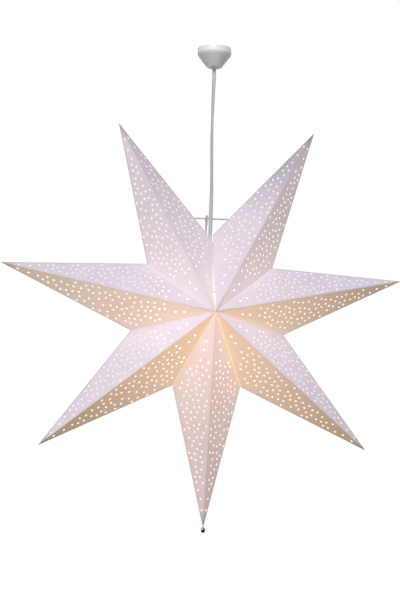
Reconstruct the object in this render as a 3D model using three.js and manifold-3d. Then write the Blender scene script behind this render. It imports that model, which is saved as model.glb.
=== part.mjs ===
import * as THREE from 'three';
import { ConvexGeometry } from 'three/addons/geometries/ConvexGeometry.js';
import { mergeVertices } from 'three/addons/utils/BufferGeometryUtils.js';
import Module from 'manifold-3d';

// A seven pointed folding paper star with a lamp inside, hung on its flex.
// Millimetres, +Z up, the star faces -Y. The origin is the middle of the flat
// top of the ceiling fitting. Heights of the star and the lamp are measured
// from the star's centre.

// Star
const pointCount = 7;
const tipRadius = 280;
const notchRadius = 105;
const halfDepth = 65;
const seamAngle = 2.4;
const seamGap = 0.6;
const rightValleySettle = [0, 2, 3];
const leftValleySettle = [0, 0, 0];

// Paper
const paperThickness = 0.35;
const jointGap = 0.3;
const ridgeMitre = 1.6;
const valleyMitre = 1.4;
const outlineMitre = 0.42;

// Perforation
const holeDiameter = 3.4;
const holeSides = 4;
const holePitch = 20;
const ridgeMargin = 7;
const outlineMargin = 4.5;
const valleyMargin = 9;
const patternEndShare = 0.77;
const innerHoleShares = [[0.82, 0.5], [0.87, 0.5]];

// Opening for the flex at the seam
const frontOpeningRadius = 4.4;
const backOpeningRadius = 8.6;

// Flex
const flexWidth = 5.2;
const flexThickness = 3.2;
const flexDrop = 229;
const flexClearance = 0.35;
const flexSteps = 24;

// Closing wire and support string
const wireDiameter = 1.6;
const wireHeight = 129;
const wireSetBack = 5;
const wireReach = 6;
const wireSlotClearance = 1.1;
const stringDiameter = 1.5;
const stringSteps = 36;

// Bead under the bottom tip
const beadDiameter = 5.6;
const beadHeight = 6.4;
const beadNeckDiameter = 1;

// Lamp holder
const holderTop = 86;
const gripHeight = 12;
const gripDiameter = 12;
const gripStemDiameter = 8.6;
const gripStemLength = 6;
const capHeight = 16;
const capTopDiameter = 15;
const capBand = 4;
const skirtHeight = 28;
const skirtDiameter = 28;
const holderWall = 1.6;
const insertHeight = 4.6;
const shellLength = 20;
const shellWall = 0.5;
const contactDiameter = 4.4;
const contactHeight = 1.4;
const terminalDiameter = 3.6;
const terminalHeight = 2.6;
const terminalSpacing = 13;

// Bulb
const bulbBaseDiameter = 13.8;
const bulbBaseLength = 18;
const bulbThreadPitch = 2.8;
const bulbThreadDepth = 0.6;
const bulbThreads = 5;
const buttonDiameter = 4.8;
const buttonHeight = 1;
const glassDiameter = 25;
const glassLength = 42;
const glassWall = 0.8;
const neckDiameter = 13;
const stemDiameter = 4;
const stemLength = 15;
const filamentDiameter = 1.2;
const filamentDrop = 10;

// Ceiling fitting
const plateThickness = 3;
const screwSpacing = 26;
const screwDiameter = 3.4;
const screwHeadDiameter = 6.6;
const screwHeadHeight = 2;
const cupDiameter = 46;
const cupMouthDiameter = 20;
const cupHeight = 26;
const cupWall = 1.8;
const grommetDiameter = 12;
const grommetDrop = 23;
const blockLength = 14;
const blockWidth = 8;
const blockHeight = 6;

// Fineness
const gap = 0.3;
const overrun = 2;
const roundSegments = 24;
const smallSegments = 16;

// Worked out from the sizes above
const starDrop = cupHeight + flexDrop + notchRadius;
const pointAngle = THREE.MathUtils.degToRad(360 - seamAngle) / pointCount;
const pointsPerHalf = (pointCount - 1) / 2;
const flexRadius = flexWidth / 2;
const gripBoreRadius = flexRadius + flexClearance;
const capTop = holderTop - gripHeight;
const capBottom = capTop - capHeight;
const skirtTop = capBottom - gap;
const skirtBottom = skirtTop - skirtHeight;
const insertTop = capBottom - holderWall;
const insertBottom = insertTop - insertHeight;
const shellBore = bulbBaseDiameter / 2 + gap;
const contactTop = insertBottom - gap;
const contactBottom = contactTop - contactHeight;
const buttonTop = contactBottom - gap;
const baseTop = buttonTop - buttonHeight;
const baseBottom = baseTop - bulbBaseLength;
const glassTop = baseBottom - gap;
const glassBottom = glassTop - glassLength;
const plateRadius = cupDiameter / 2 - cupWall - gap;

// Materials
function finish(color, roughness, metalness = 0) {
  return new THREE.MeshStandardMaterial({ color, roughness, metalness });
}

const materials = {
  paper: finish(0xeae2ea, 0.85),
  flex: finish(0xd9d9df, 0.5),
  string: finish(0xd8c6a8, 0.95),
  wire: finish(0x9a9aa0, 0.35, 1),
  bead: finish(0x3a3b40, 0.12, 1),
  plastic: finish(0xf2f2f0, 0.4),
  ceramic: finish(0xf4f1ea, 0.35),
  brass: finish(0xc9a24b, 0.3, 1),
  nickel: finish(0xc4c4c4, 0.3, 1),
  glass: finish(0xfff3dc, 0.2),
  rubber: finish(0xe9e9e9, 0.7),
  steel: finish(0xb9b9bc, 0.35, 1),
};

// Solids
const wasm = await Module();
wasm.setup();

function toSolid(geometry) {
  const bare = geometry.clone();
  bare.deleteAttribute('normal');
  bare.deleteAttribute('uv');
  const merged = mergeVertices(bare);
  const vertProperties = new Float32Array(merged.attributes.position.array);
  const triVerts = new Uint32Array(merged.index.array);
  return new wasm.Manifold(new wasm.Mesh({ numProp: 3, vertProperties, triVerts }));
}

function toGeometry(solid) {
  const { vertProperties, triVerts } = solid.getMesh();
  const geometry = new THREE.BufferGeometry();
  geometry.setAttribute('position', new THREE.BufferAttribute(vertProperties, 3));
  geometry.setIndex(new THREE.BufferAttribute(triVerts, 1));
  return geometry;
}

function cut(geometry, cutters) {
  let solid = toSolid(geometry);
  for (const cutter of cutters) {
    solid = solid.subtract(toSolid(cutter));
  }
  return toGeometry(solid);
}

function join(geometries) {
  const [first, ...others] = geometries.map(toSolid);
  return toGeometry(others.reduce((sum, solid) => sum.add(solid), first));
}

// A ring or solid of revolution about Z from [radius, height] points in order
// round the profile, which is closed here
function revolve(profile, segments = roundSegments) {
  const area = profile.reduce((sum, [r, z], i) => {
    const [nextR, nextZ] = profile[(i + 1) % profile.length];
    return sum + r * nextZ - nextR * z;
  }, 0);
  const ordered = area > 0 ? profile : [...profile].reverse();
  const points = [...ordered, ordered[0]].map(([r, z]) => new THREE.Vector2(r, z));
  const geometry = new THREE.LatheGeometry(points, segments);
  geometry.rotateX(Math.PI / 2);
  return geometry;
}

function disc(radius, top, bottom, segments = smallSegments) {
  const height = top - bottom;
  const geometry = new THREE.CylinderGeometry(radius, radius, height, segments);
  geometry.rotateX(Math.PI / 2);
  geometry.translate(0, 0, bottom + height / 2);
  return geometry;
}

function tube(points, outline, steps) {
  const path = new THREE.CatmullRomCurve3(points);
  return new THREE.ExtrudeGeometry(outline, { extrudePath: path, steps, bevelEnabled: false });
}

function ellipse(width, height, sides) {
  const corners = Array.from({ length: sides }, (_, i) => {
    const angle = 2 * Math.PI * (i + 0.5) / sides;
    return new THREE.Vector2(width / 2 * Math.cos(angle), height / 2 * Math.sin(angle));
  });
  return new THREE.Shape(corners);
}

function addMesh(group, name, geometry, material) {
  const mesh = new THREE.Mesh(geometry, material);
  mesh.name = name;
  group.add(mesh);
  return mesh;
}

// Star corners: the apexes, and for each point of one half its tip and the
// notches below and above it. Each glued valley of that half may be settled a
// little further closed than in a regular star, which turns what is above it
// about the line from the front apex to the notch.
const frontApex = new THREE.Vector3(0, -halfDepth, 0);
const backApex = new THREE.Vector3(0, halfDepth, 0);

function onStar(radius, turns) {
  const angle = turns * pointAngle - Math.PI / 2;
  return new THREE.Vector3(radius * Math.cos(angle), 0, radius * Math.sin(angle));
}

function turnAbout(start, end, angle) {
  const axis = end.clone().sub(start).normalize();
  return new THREE.Matrix4().makeTranslation(start)
    .multiply(new THREE.Matrix4().makeRotationAxis(axis, angle))
    .multiply(new THREE.Matrix4().makeTranslation(start.clone().negate()));
}

function halfStar(side, settle) {
  const mirror = new THREE.Matrix4().makeScale(side, 1, 1);
  const placed = new THREE.Matrix4();
  const points = [];
  for (let j = 0; j <= pointsPerHalf; j += 1) {
    const low = onStar(notchRadius, j - 0.5);
    if (j > 0) {
      const closing = THREE.MathUtils.degToRad(settle[j - 1] ?? 0);
      placed.multiply(turnAbout(frontApex, low, closing));
    }
    const corners = {
      front: frontApex,
      back: backApex,
      tip: onStar(tipRadius, j),
      low,
      high: onStar(notchRadius, j + 0.5),
    };
    const place = mirror.clone().multiply(placed);
    for (const key of Object.keys(corners)) {
      corners[key] = corners[key].clone().applyMatrix4(place);
    }
    points.push(corners);
  }
  return points;
}

// The front facet beside the open seam is cut wider along its outline, until
// its notch comes up to the seam
function reachSeam({ tip, high }, side) {
  const share = (side * seamGap / 2 - tip.x) / (high.x - tip.x);
  return tip.clone().lerp(high, share);
}

// The corners of a triangle whose sides are each moved inwards, in its plane
function insetCorners(corners, insets) {
  const lines = corners.map((corner, i) => {
    const next = corners[(i + 1) % 3];
    const opposite = corners[(i + 2) % 3];
    const along = next.clone().sub(corner).normalize();
    const inward = new THREE.Vector2(-along.y, along.x);
    inward.multiplyScalar(Math.sign(inward.dot(opposite.clone().sub(corner))));
    return { along, base: corner.clone().addScaledVector(inward, insets[i]) };
  });
  return lines.map((line, i) => {
    const before = lines[(i + 2) % 3];
    const step = line.base.clone().sub(before.base).cross(line.along);
    const distance = step / before.along.cross(line.along);
    return before.base.clone().addScaledVector(before.along, distance);
  });
}

// Evenly scattered places for the holes of one panel, measured from the tip
// along the ridge and across from it
function holePlaces(apex, notch) {
  const first = 0.7548776662;
  const second = 0.569840291;
  const count = Math.round(apex.x * notch.y / holePitch ** 2);
  const places = [];
  const outline = notch.clone().normalize();
  const valley = apex.clone().sub(notch).normalize();
  for (let i = 1; i <= count; i += 1) {
    const x = apex.x * ((0.5 + first * i) % 1);
    const y = notch.y * ((0.5 + second * i) % 1);
    const place = new THREE.Vector2(x, y);
    const fromOutline = -outline.cross(place);
    const fromValley = -valley.cross(place.clone().sub(notch));
    const inside = y > ridgeMargin && fromOutline > outlineMargin && fromValley > valleyMargin;
    if (inside && x < patternEndShare * apex.x) {
      places.push(place);
    }
  }
  for (const [alongShare, acrossShare] of innerHoleShares) {
    const x = alongShare * apex.x;
    const width = notch.y * (apex.x - x) / (apex.x - notch.x);
    places.push(new THREE.Vector2(x, acrossShare * width));
  }
  return places;
}

// One flat facet of folded paper between an apex, a tip and a notch. Its long
// edges are mitred so that it can close against the next facet.
function addPanel(group, name, [apex, tip, notch], cutters = []) {
  const ridge = apex.clone().sub(tip);
  const edge = notch.clone().sub(tip);
  const xAxis = ridge.clone().normalize();
  const zAxis = ridge.clone().cross(edge).normalize();
  const yAxis = zAxis.clone().cross(xAxis);
  const place = new THREE.Matrix4().makeBasis(xAxis, yAxis, zAxis).setPosition(tip);
  const outward = Math.sign(zAxis.dot(apex));

  const flatApex = new THREE.Vector2(ridge.length(), 0);
  const flatTip = new THREE.Vector2(0, 0);
  const flatNotch = new THREE.Vector2(edge.dot(xAxis), edge.dot(yAxis));
  const corners = [flatApex, flatTip, flatNotch];
  const clear = jointGap / 2;
  const layers = [
    { insets: [clear, clear, valleyMitre], height: outward * paperThickness / 2 },
    { insets: [ridgeMitre, outlineMitre, clear], height: -outward * paperThickness / 2 },
  ];
  const hull = layers.flatMap(({ insets, height }) => (
    insetCorners(corners, insets).map(({ x, y }) => new THREE.Vector3(x, y, height))
  ));

  const depth = paperThickness + 2 * overrun;
  const holes = holePlaces(flatApex, flatNotch).map(({ x, y }) => {
    const punch = disc(holeDiameter / 2, depth / 2, -depth / 2, holeSides);
    return punch.translate(x, y, 0);
  });
  const toPanel = place.clone().invert();
  const local = cutters.map((cutter) => cutter.clone().applyMatrix4(toPanel));
  const geometry = cut(new ConvexGeometry(hull), [...holes, ...local]);
  const mesh = addMesh(group, name, geometry, materials.paper);
  mesh.position.copy(tip);
  mesh.quaternion.setFromRotationMatrix(place);
}

// Where the outline from a seam notch to its tip passes the closing wire
function wireEnd({ tip, high }) {
  const share = (wireHeight - high.z) / (tip.z - high.z);
  return high.clone().lerp(tip, share);
}

function flexOpening(radius) {
  const height = notchRadius / 2;
  return disc(radius, notchRadius + height, notchRadius - height, smallSegments);
}

// A slot that lets the wire's end slip out as the seam opens and the outline
// moves off round the star
function wireSlot(end) {
  const side = Math.sign(end.x);
  const length = 2 * (wireReach + wireSlotClearance);
  const height = wireDiameter + 2 * wireSlotClearance;
  const slot = new THREE.BoxGeometry(length, length, height);
  slot.rotateY(side * Math.atan2(Math.abs(end.x), 2 * wireHeight));
  return slot.translate(end.x, wireSetBack, wireHeight);
}

function addStar(group) {
  const ends = [];
  const halves = [[1, rightValleySettle], [-1, leftValleySettle]];
  for (const [side, settle] of halves) {
    const points = halfStar(side, settle);
    const last = points[pointsPerHalf];
    const end = wireEnd(last);
    ends.push(end);
    points.forEach((corners, j) => {
      const number = side > 0 || j === 0 ? j + 1 : pointCount + 1 - j;
      const { front, back, tip, low, high } = corners;
      if (j === 0) {
        const hand = side > 0 ? 'right' : 'left';
        addPanel(group, `point_${number}_front_${hand}`, [front, tip, high]);
        addPanel(group, `point_${number}_back_${hand}`, [back, tip, high]);
        return;
      }
      addPanel(group, `point_${number}_front_lower`, [front, tip, low]);
      addPanel(group, `point_${number}_back_lower`, [back, tip, low]);
      const atSeam = corners === last;
      const frontHigh = atSeam ? reachSeam(corners, side) : high;
      const frontCuts = atSeam ? [flexOpening(frontOpeningRadius)] : [];
      const backCuts = atSeam ? [flexOpening(backOpeningRadius), wireSlot(end)] : [];
      addPanel(group, `point_${number}_front_upper`, [front, tip, frontHigh], frontCuts);
      addPanel(group, `point_${number}_back_upper`, [back, tip, high], backCuts);
    });
  }
  return ends;
}

// The closing wire spans the seam between the two upper points
function addWire(group, [right, left]) {
  const span = right.x - left.x + 2 * wireReach;
  const wire = disc(wireDiameter / 2, span / 2, -span / 2, 8);
  wire.rotateY(Math.PI / 2);
  wire.translate((right.x + left.x) / 2, wireSetBack, wireHeight);
  addMesh(group, 'closing_wire', wire, materials.wire);
}

// The string runs from the holder's cap out of the seam, over the wire and
// down to the flex
function addString(group) {
  const beside = flexRadius + gap + stringDiameter / 2;
  const over = (wireDiameter + stringDiameter) / 2 + gap;
  const capShoulder = capTopDiameter / 2 - stringDiameter;
  const route = [
    [-capShoulder, beside, capTop + gap],
    [-beside - 1.8, beside + 0.8, capTop + 12],
    [-beside - 1.4, beside + 1.4, notchRadius - 8],
    [-beside - 1.4, beside + 1.6, notchRadius + 2],
    [-beside - 1.4, wireSetBack + over, wireHeight - 10],
    [-beside - 1.6, wireSetBack + over, wireHeight],
    [-beside - 1.4, wireSetBack, wireHeight + over],
    [-beside - 1.2, wireSetBack - over, wireHeight],
    [-beside - 0.6, beside - 1.4, wireHeight - 4],
    [-beside, 0.4, wireHeight - 9],
  ];
  const points = route.map(([x, y, z]) => new THREE.Vector3(x, y, z));
  const string = tube(points, ellipse(stringDiameter, stringDiameter, 8), stringSteps);
  addMesh(group, 'support_string', string, materials.string);
}

function addBead(group) {
  const neckTop = -tipRadius + jointGap;
  const neckRadius = beadNeckDiameter / 2;
  const top = -tipRadius - beadNeckDiameter;
  const profile = [[0, neckTop], [neckRadius, neckTop], [neckRadius, top]];
  const rings = 8;
  for (let i = 2; i <= rings; i += 1) {
    const angle = Math.PI * i / rings;
    const z = top - beadHeight / 2 * (1 - Math.cos(angle));
    profile.push([beadDiameter / 2 * Math.sin(angle), z]);
  }
  profile[profile.length - 1][0] = 0;
  addMesh(group, 'tip_bead', revolve(profile, smallSegments), materials.bead);
}

// Lamp holder, from the cord grip down
function addHolder(group) {
  const gripRadius = gripDiameter / 2;
  const stemRadius = gripStemDiameter / 2;
  const gripBottom = capTop + gap;
  const chamfer = holderWall;
  const grip = revolve([
    [gripBoreRadius, holderTop], [gripRadius - 2 * chamfer, holderTop],
    [gripRadius, holderTop - 3 * chamfer], [gripRadius, gripBottom],
    [stemRadius, gripBottom], [stemRadius, capTop - gripStemLength],
    [gripBoreRadius, capTop - gripStemLength],
  ], smallSegments);
  addMesh(group, 'cord_grip', grip, materials.plastic);

  const capBore = stemRadius + gap;
  const skirtRadius = skirtDiameter / 2;
  const inner = skirtRadius - holderWall;
  const bandTop = capBottom + capBand;
  const cap = revolve([
    [capBore, capTop], [capTopDiameter / 2, capTop], [skirtRadius, bandTop],
    [skirtRadius, capBottom], [inner, capBottom], [inner, bandTop - holderWall],
    [capTopDiameter / 2, capTop - holderWall], [capBore, capTop - holderWall],
  ]);
  addMesh(group, 'holder_cap', cap, materials.plastic);

  const lip = holderWall / 2;
  const skirt = revolve([
    [inner, skirtTop], [skirtRadius, skirtTop], [skirtRadius, skirtBottom + lip],
    [skirtRadius - lip, skirtBottom], [inner, skirtBottom],
  ]);
  addMesh(group, 'holder_skirt', skirt, materials.plastic);

  const insertRadius = inner - gap;
  const insert = revolve([
    [0, insertTop], [insertRadius, insertTop], [insertRadius, insertBottom], [0, insertBottom],
  ]);
  addMesh(group, 'holder_insert', insert, materials.ceramic);

  const shellTop = insertBottom - gap;
  const shell = revolve([
    [shellBore, shellTop], [shellBore + shellWall, shellTop],
    [shellBore + shellWall, shellTop - shellLength], [shellBore, shellTop - shellLength],
  ]);
  addMesh(group, 'screw_shell', shell, materials.brass);

  const contact = disc(contactDiameter / 2, contactTop, contactBottom);
  addMesh(group, 'centre_contact', contact, materials.brass);

  const screwBottom = insertTop + gap;
  for (const [side, name] of [[-1, 'left'], [1, 'right']]) {
    const screw = disc(terminalDiameter / 2, screwBottom + terminalHeight, screwBottom);
    screw.translate(side * terminalSpacing / 2, 0, 0);
    addMesh(group, `terminal_screw_${name}`, screw, materials.brass);
  }
}

// Small pear shaped bulb with a screw base
function addBulb(group) {
  const crest = bulbBaseDiameter / 2;
  const root = crest - bulbThreadDepth;
  const threadTop = baseTop - (bulbBaseLength - bulbThreads * bulbThreadPitch) / 2;
  const profile = [[0, baseTop], [crest - 2 * bulbThreadDepth, baseTop]];
  for (let i = 0; i < bulbThreads; i += 1) {
    const z = threadTop - i * bulbThreadPitch;
    profile.push([root, z], [crest, z - bulbThreadPitch / 2]);
  }
  profile.push([root, threadTop - bulbThreads * bulbThreadPitch]);
  profile.push([root, baseBottom], [0, baseBottom]);
  addMesh(group, 'bulb_base', revolve(profile, smallSegments), materials.nickel);

  const button = disc(buttonDiameter / 2, buttonTop, baseTop + gap);
  addMesh(group, 'bulb_button', button, materials.brass);

  const pear = (wall) => {
    const radius = glassDiameter / 2 - wall;
    const neck = neckDiameter / 2 - wall;
    const middle = glassBottom + glassDiameter / 2;
    const steps = 5;
    const outline = [[neck, glassTop]];
    const shoulder = glassTop - middle;
    for (let i = 1; i <= steps; i += 1) {
      const blend = (1 - Math.cos(Math.PI * i / steps)) / 2;
      outline.push([neck + (radius - neck) * blend, glassTop - shoulder * i / steps]);
    }
    for (let i = 1; i <= steps; i += 1) {
      const angle = Math.PI / 2 * i / steps;
      outline.push([radius * Math.cos(angle), middle - radius * Math.sin(angle)]);
    }
    outline[outline.length - 1][0] = 0;
    return outline;
  };
  const glass = revolve([...pear(0), ...pear(glassWall).reverse()], smallSegments);
  addMesh(group, 'bulb_glass', glass, materials.glass);

  const stemBottom = glassTop - stemLength;
  const filament = join([
    disc(stemDiameter / 2, glassTop, stemBottom),
    disc(filamentDiameter / 2, stemBottom + overrun, stemBottom - filamentDrop),
  ]);
  addMesh(group, 'bulb_filament', filament, materials.brass);
}

// Ceiling fitting: a plate screwed up, with a cup over it that ends in the
// round grommet on which the flex can swing
function addCeiling(group) {
  const holeRadius = screwDiameter / 2 + gap;
  const headTop = -plateThickness - gap;
  const sides = [[-1, 'left'], [1, 'right']];
  const holes = sides.map(([side]) => (
    disc(holeRadius, overrun, -plateThickness - overrun).translate(side * screwSpacing / 2, 0, 0)
  ));
  const plate = cut(disc(plateRadius, 0, -plateThickness, roundSegments), holes);
  addMesh(group, 'ceiling_plate', plate, materials.steel);

  for (const [side, name] of sides) {
    const screw = join([
      disc(screwDiameter / 2, -gap, headTop - gap),
      disc(screwHeadDiameter / 2, headTop, headTop - screwHeadHeight),
    ]);
    screw.translate(side * screwSpacing / 2, 0, 0);
    addMesh(group, `ceiling_screw_${name}`, screw, materials.steel);
  }

  const rim = cupDiameter / 2;
  const mouth = cupMouthDiameter / 2;
  const bore = grommetDiameter / 2 + gap;
  const shoulder = cupHeight / 3;
  const cup = revolve([
    [rim - cupWall, -gap], [rim, -gap], [rim, -shoulder], [mouth, -cupHeight],
    [bore, -cupHeight], [bore, -cupHeight + 2 * cupWall],
    [mouth - cupWall, -cupHeight + 2 * cupWall], [rim - cupWall, -shoulder],
  ]);
  addMesh(group, 'ceiling_cup', cup, materials.plastic);

  const block = new THREE.BoxGeometry(blockLength, blockWidth, blockHeight);
  block.translate(0, 0, -plateThickness - gap - blockHeight / 2);
  addMesh(group, 'terminal_block', block, materials.plastic);

  const grommet = new THREE.SphereGeometry(grommetDiameter / 2, smallSegments, smallSegments / 2);
  grommet.rotateX(Math.PI / 2);
  grommet.translate(0, 0, -grommetDrop);
  addMesh(group, 'cord_grommet', grommet, materials.rubber);
}

// The flex hangs from the grommet into the bore of the cord grip
function addFlex(group) {
  const top = -grommetDrop - grommetDiameter / 2 - flexClearance;
  const bottom = -starDrop + capTop - gripStemLength + gap;
  const points = [
    [0, 0, top],
    [0, 0, top - 14],
    [-0.5, 0.2, top - 46],
    [-0.9, 0, top - 84],
    [-0.3, -0.3, top - 124],
    [0.5, -0.2, top - 160],
    [0.3, 0, top - 192],
    [0, 0, top - 222],
    [0, 0, bottom + 12],
    [0, 0, bottom],
  ].map(([x, y, z]) => new THREE.Vector3(x, y, z));
  const flex = tube(points, ellipse(flexWidth, flexThickness, 8), flexSteps);
  addMesh(group, 'hanging_flex', flex, materials.flex);
}

const snowflakeStar = new THREE.Group();
addCeiling(snowflakeStar);
addFlex(snowflakeStar);

const hung = new THREE.Group();
hung.position.z = -starDrop;
snowflakeStar.add(hung);
const wireEnds = addStar(hung);
addWire(hung, wireEnds);
addString(hung);
addBead(hung);
addHolder(hung);
addBulb(hung);

export default snowflakeStar;
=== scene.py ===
from math import atan2, copysign, cos, pi, radians, sin, sqrt, tan
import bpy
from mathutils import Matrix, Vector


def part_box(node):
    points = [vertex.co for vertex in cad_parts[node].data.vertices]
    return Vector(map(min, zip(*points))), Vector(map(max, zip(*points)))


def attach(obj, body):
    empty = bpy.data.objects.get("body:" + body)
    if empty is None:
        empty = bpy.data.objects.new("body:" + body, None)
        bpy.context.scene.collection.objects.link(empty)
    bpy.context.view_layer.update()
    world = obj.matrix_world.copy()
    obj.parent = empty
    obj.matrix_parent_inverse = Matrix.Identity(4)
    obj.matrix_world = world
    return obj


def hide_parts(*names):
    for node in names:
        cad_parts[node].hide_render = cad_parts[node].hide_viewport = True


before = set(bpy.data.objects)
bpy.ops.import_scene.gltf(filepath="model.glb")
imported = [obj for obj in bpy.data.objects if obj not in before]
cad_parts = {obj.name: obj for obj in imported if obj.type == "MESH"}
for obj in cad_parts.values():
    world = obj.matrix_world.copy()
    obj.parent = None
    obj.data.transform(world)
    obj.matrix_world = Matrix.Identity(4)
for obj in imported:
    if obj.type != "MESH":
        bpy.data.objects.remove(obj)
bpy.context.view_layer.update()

from types import SimpleNamespace

import bmesh
import bpy
from mathutils import Matrix, Vector

# A lit paper star of seven folded points, hung on its flex.
# Metres, +Z up, the star faces -Y.

# Star
POINT_COUNT = 7
TIP_RADIUS = 0.28
NOTCH_RADIUS = 0.105
HALF_DEPTH = 0.065
SEAM_ANGLE = radians(2.4)
SETTLE = {1: [0, 2, 3], -1: [0, 0, 0]}
BACK_SHARE = 0.35
SHORTENED = {3: 0.0128}
STAR_DROP = 0.36
STAR_CENTRE = Vector((0, 0, -STAR_DROP))

# Where the front facets beside the open seam end: the left one runs on behind
# the right one, and a slit is left between them below the middle
SEAM_REACH = {1: 0.0026, -1: 0.0044}
SLIT_SHARES = [0.41, 0.95]
SLIT_WIDTH = 0.0062

# Paper
THICKNESS = 0.00022
FOLD_CLEARANCE = 0.00009
WELD = 0.000001
SAME_PLACE = 0.00001
SHARP_EDGE = radians(35)
LIT_EDGE = 0.001

# Perforation
HOLE_DIAMETER = 0.0031
HOLE_SIDES = 14
HOLE_SPACING = 0.0069
HOLE_DENSITY = 160000.0
RIDGE_MARGIN = 0.0036
OUTLINE_MARGIN = 0.0026
VALLEY_MARGIN = 0.0062
SEAM_MARGIN = {1: 0.0125, -1: 0.0105}
PATTERN_SHARES = [0.155, 0.775]
TIP_HOLE_SHARES = [0.078, 0.13]
INNER_HOLE_SHARES = [0.82, 0.86]
PATTERN_SEEDS = {"left": 4, "right": 11}

# Openings at the seam
FRONT_OPENING_RADIUS = 0.0034
BACK_OPENING_RADIUS = 0.0086
SLOT_LENGTH = 0.0142
SLOT_HEIGHT = 0.0038

# Flex, string and closing wire, whose height is above the star's centre
FLEX_WIDTH = 0.0052
FLEX_THICKNESS = 0.0032
FLEX_GROOVE = 0.00035
FLEX_TOP = -0.02935
FLEX_BOTTOM = -0.2917
STRING_DIAMETER = 0.003
STRING_LAY = 0.007
WIRE_DIAMETER = 0.0021
WIRE_HEIGHT = 0.129
WIRE_SET_BACK = 0.005
LOOP_RADIUS = 0.0033

# Lamp holder, bulb, bead and ceiling cup
GAP = 0.0003
FLEX_CLEARANCE = 0.00035
GRIP_STEM = 0.0086
CAP_TOP = 0.015
CAP_BAND = 0.004
WALL = 0.0016
SHELL_WALL = 0.0005
SHELL_THREAD = 0.0002
BULB_PITCH = 0.0028
BULB_THREAD = 0.0006
NECK = 0.013
GLASS_WALL = 0.0008
BEAD_NECK_RADIUS = 0.0011
BEAD_NECK_LENGTH = 0.0007
CUP_MOUTH = 0.02
CUP_WALL = 0.0018
CUP_BULGE = 0.0007

# Paper and the lamp's glow through it, in linear colour. The glow is painted into the emission colour: a
# facet that faces down has a warm painted glow, and one that faces up a paler and cooler one.
PAPER_WHITE = (0.52, 0.51, 0.6)
# Painted warm shade on the base colour, for downward facets towards their tips
PAPER_PAINTED_WARM_SHADE = (0.515, 0.47, 0.48)
GLOW_UP_LOW = (0.6, 0.5, 0.55)
GLOW_UP_HIGH = (0.37, 0.24, 0.22)
GLOW_LEVEL = (0.734, 0.525, 0.436)
GLOW_DOWN = (0.79, 0.5, 0.225)
GLOW_DOWN_TIP = (0.75, 0.45, 0.1)
GLOW_LOW_TINT = (1.1, 1.0, 0.87)
GLOW_HIGH_TINT = (0.9, 1.0, 1.13)
GLOW_REACH = 0.125
GLOW_FAR_SHARE = 0.237
FACING_UP = 0.7
FACING_LEVEL = -0.18
FACING_DOWN = -0.64
# The glue line along a valley by the lowest point, whose gold is painted into the glow
VALLEY_GOLD = (1.0, 0.62, 0.2)
# Painted light that the facet across a valley throws back
VALLEY_BOUNCE_PEACH = (1.04, 0.98, 0.7)
VALLEY_BOUNCE_WARM = (0.8, 0.6, 0.51)
VALLEY_BOUNCE_PALE = (0.89, 0.6, 0.39)
# Painted light on the left facets that face down
LEFT_PAINTED_LIGHT = (1.12, 1.18, 1.46)
# Painted glow on the left facet at the seam, near the middle
SEAM_PAINTED_GLOW = (0.53, 0.44, 0.36)
# The flex's painted shadow, cool, on the part tucked in at the seam
SEAM_PAINTED_SHADOW = (0.02, 0.03, 0.05)
# Painted cool light on the upward facets of the right tips
TIP_PAINTED_COOL_LIGHT = (0.03, 0.09, 0.19)
# The inside of the paper, with the lamp's light on it painted as emission, brightest near the lamp
INSIDE_BODY = (0.42, 0.41, 0.4)
INSIDE_DOWN = (0.78, 0.59, 0.39)
INSIDE_UP = (0.52, 0.48, 0.6)
INSIDE_NEAR = (0.86, 0.77, 0.73)
INSIDE_NEAR_REACH = (0.1, 0.06)

# Zones of the paper, by what they are measured by, as where each sets in and where
# it is full. Across is a share of the way from the valley to the ridge.
ZONES = {
    "facing": {"upward": (FACING_LEVEL, FACING_UP), "not_down": (FACING_DOWN, FACING_LEVEL)},
    "side": {"right": (-0.3, 0.3), "left_edge": (0.01, -0.01)},
    "height": {
        "off_bottom": (0.1, 0.3), "low": (0.35, 0.2), "off_low": (0.3, 0.45),
        "sheltered": (0.6, 0.3), "over_middle": (0.4, 0.55), "under_top": (0.7, 0.4),
        "under_high": (0.85, 0.7), "rising": (0.1, 0.8), "upper": (0.6, 0.9),
        "high": (0.8, 0.95), "highest": (0.85, 0.97),
    },
    "lamp": {
        "off_lamp": (0.1, 0.16), "to_tip": (0.13, 0.24), "outer": (0.12, 0.26),
        "far": (0.1, 0.27), "past_middle": (0.13, 0.27), "well_out": (0.15, 0.27),
        "tip_end": (0.252, 0.28),
    },
    "axis": {
        "inner": (0.11, 0.01), "by_seam": (0.085, 0.01), "at_apex": (0.036, 0.018),
        "off_apex": (0.035, 0.08),
    },
    "ridge": {"off_ridge": (0.0004, 0.0019)},
    "outline": {"off_outline": (0.0001, 0.0013)},
    "valley": {"off_glue": (0.0009, 0.0021), "at_valley": (0.012, 0.002)},
    "across": {"off_valley": (0.0, 0.32), "off_fold": (0.0, 0.14)},
}

# How strongly the zones paint shade, light or colour on the paper
AMOUNT = SimpleNamespace(
    under_top=0.16, valley_pale=0.8, valley_sheltered=0.9, valley_open=0.3,
    clouds=0.1, outline=0.38, crease=0.03, crease_right=0.14, crease_apex=0.15, apex_left=0.8,
    high_tip=0.17, high_tip_right=0.3, low_tip=0.2, low_tip_right=0.1,
    tucked=0.07, tucked_shadow=0.75, right_tip=0.09, tip_end=0.3,
    level_lift=0.12, bottom_lift=0.11, left_lift=0.06, gold=0.2, gold_right=0.13,
)

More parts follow.
